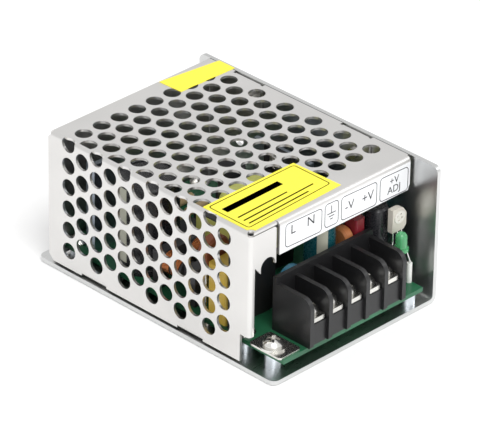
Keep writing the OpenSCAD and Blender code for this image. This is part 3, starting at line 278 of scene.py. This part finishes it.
ruled = [(np.array([(x0, y), (x1, y)]) * 0.001, False) for x0, x1, y in
         ((2.5, 20.0, 9.6), (2.5, 27.5, 11.6), (2.5, 24.0, 13.4))]
printed("label_lines", ruled, 0.0005, on_label)
printed("label_frame", [(rounded_frame(1.0, 30.6, 1.0, 14.8, 0.8), True)], 0.0003, on_label)
printed("label_bar", [(np.array([(2.5, 5.0), (22.0, 5.0)]) * 0.001, False)], 0.0022, on_label)

# Circuit board: glass laminate with green solder mask, screwed to posts in the floor. The
# black sheet that stands on it keeps the mains parts away from the corner screws.
dress(finish("solder_mask", (0.02, 0.13, 0.06), 0.35, patch=0.25, grain=(900, 900, 900), dent=0.2),
      "circuit_board")
dress(finish("barrier_sheet", (0.02, 0.02, 0.02), 0.45, patch=0.2, dent=0.2), "insulating_barrier")

# Terminal block: black moulded housing, semi-gloss and slightly grainy on its faces, held to
# the board by its contact pins.
dress(finish("block_moulding", (0.012, 0.012, 0.013), 0.36, patch=0.2, grain=(700, 700, 700),
             dent=0.25), "terminal_block")

# Lamp: clear green epoxy, cast round the ends of two tinned leads that hold it above the
# board; white plastic sleeves are slipped over the leads.
dress(finish("lamp_epoxy", (0.16, 0.62, 0.28), 0.15, patch=0.08, dent=0.03,
             Transmission_Weight=0.55, IOR=1.5), "indicator_lamp")
dress(finish("white_sleeve", (0.85, 0.86, 0.82), 0.45, patch=0.03, dent=0.1), "lead_sleeves")

# Trimmer: cream moulding on three legs, with a moulded rotor that is crossed for a
# screwdriver and riveted over behind.
dress(finish("trimmer_moulding", (0.6, 0.57, 0.5), 0.45, patch=0.06, dent=0.15), "trimmer_housing")
dress(finish("rotor_moulding", (0.72, 0.7, 0.64), 0.4, patch=0.05, dent=0.15), "trimmer_rotor")

# Capacitors: aluminium cans in shrunk plastic sleeves, with a paler printed band for the minus
# lead, and dipped or boxed film and ceramic ones. All are soldered into the board.
dress(finish("black_sleeve", (0.015, 0.015, 0.018), 0.28, patch=0.2, dent=0.1),
      "bulk_capacitor", "small_capacitor")
dress(finish("teal_sleeve", (0.01, 0.09, 0.11), 0.28, patch=0.15, dent=0.1), "output_capacitors")
pale_print = finish("pale_print", (0.55, 0.55, 0.45), 0.35, patch=0.06, dent=0.08)


band_t = 0.00003


def can_band(name, x, y, radius, z0, z1, middle, spread):
    """Strip of a cylinder: angle across, height along, as a flat tube with open ends."""
    turn = middle + np.linspace(-spread, spread, 9)
    turn, lift = np.r_[turn, turn[::-1]], np.r_[np.full(9, band_t), np.full(9, 0.0)] + radius
    z = np.linspace(z0, z1, 6)[:, None] + np.zeros(18)
    p = np.stack([x + lift * np.cos(turn) + 0 * z, y + lift * np.sin(turn) + 0 * z, z], -1)
    piece = grid_mesh(name, p[:, ::-1], close_v=True)
    piece.data.materials.append(pale_print)
    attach(piece, "case")


cans_lo, cans_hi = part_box("output_capacitors")
bulk_lo, bulk_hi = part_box("bulk_capacitor")
can_r, band_foot, band_head = 0.004, 0.003, 0.001
can_band("band_front", cans_lo.x + can_r, cans_lo.y + can_r, can_r,
         cans_lo.z + band_foot, cans_hi.z - band_head, -2.2, 0.35)
can_band("band_bulk", (bulk_lo.x + bulk_hi.x) / 2, (bulk_lo.y + bulk_hi.y) / 2,
         (bulk_hi.x - bulk_lo.x) / 2, bulk_lo.z + band_foot, bulk_hi.z - band_head, 3.0, 0.2)
dress(finish("gold_box", (0.72, 0.5, 0.08), 0.3, patch=0.06, dent=0.1), "film_capacitor")
dress(finish("maroon_dip", (0.22, 0.02, 0.03), 0.22, patch=0.15, dent=0.2), "coupling_capacitor")
dress(finish("blue_dip", (0.06, 0.27, 0.42), 0.3, patch=0.1, dent=0.3), "varistor")
dress(finish("orange_dip", (0.55, 0.2, 0.07), 0.4, patch=0.1, dent=0.3), "disc_capacitor")
dress(finish("brown_dip", (0.3, 0.09, 0.04), 0.45, patch=0.12, dent=0.3), "inrush_thermistor")

# Wound parts: ground ferrite cores, black moulded bobbins, copper wire and polyester tape.
dress(finish("ferrite_grey", (0.05, 0.05, 0.055), 0.4, patch=0.2, dent=0.3),
      "transformer_core", "choke_core", "output_inductor")
dress(finish("tape_film", (0.68, 0.7, 0.2), 0.35, patch=0.06, grain=(100, 100, 900), dent=0.3),
      "core_tape", "transformer_winding")
dress(finish("bobbin_moulding", (0.02, 0.02, 0.02), 0.45, patch=0.15, dent=0.15),
      "transformer_bobbin", "choke_bobbin")
dress(finish("enamel_wire", (0.5, 0.17, 0.06), 0.25, 1.0, 0.1, (50, 900, 50), 0.9, 0.0002),
      "choke_windings")

# Behind the grille: glass fuse, aluminium heat sinks with screwed-on power packages, moulded
# chips and lacquered resistors, all soldered into the board.
dress(finish("fuse_tube", (0.5, 0.55, 0.45), 0.25, patch=0.1, dent=0.1), "fuse")
dress(finish("sink_sheet", (0.55, 0.62, 0.7), 0.35, 1.0, 0.08, (100, 100, 900), 0.2),
      "heat_sink", "rectifier_sink")
dress(finish("package_moulding", (0.02, 0.02, 0.022), 0.5, patch=0.2, dent=0.3),
      "bridge_rectifier", "switch_transistor", "output_rectifier", "control_chip", "optocoupler")
dress(finish("resistor_lacquer", (0.6, 0.45, 0.25), 0.35, patch=0.1, dent=0.2), "resistors")
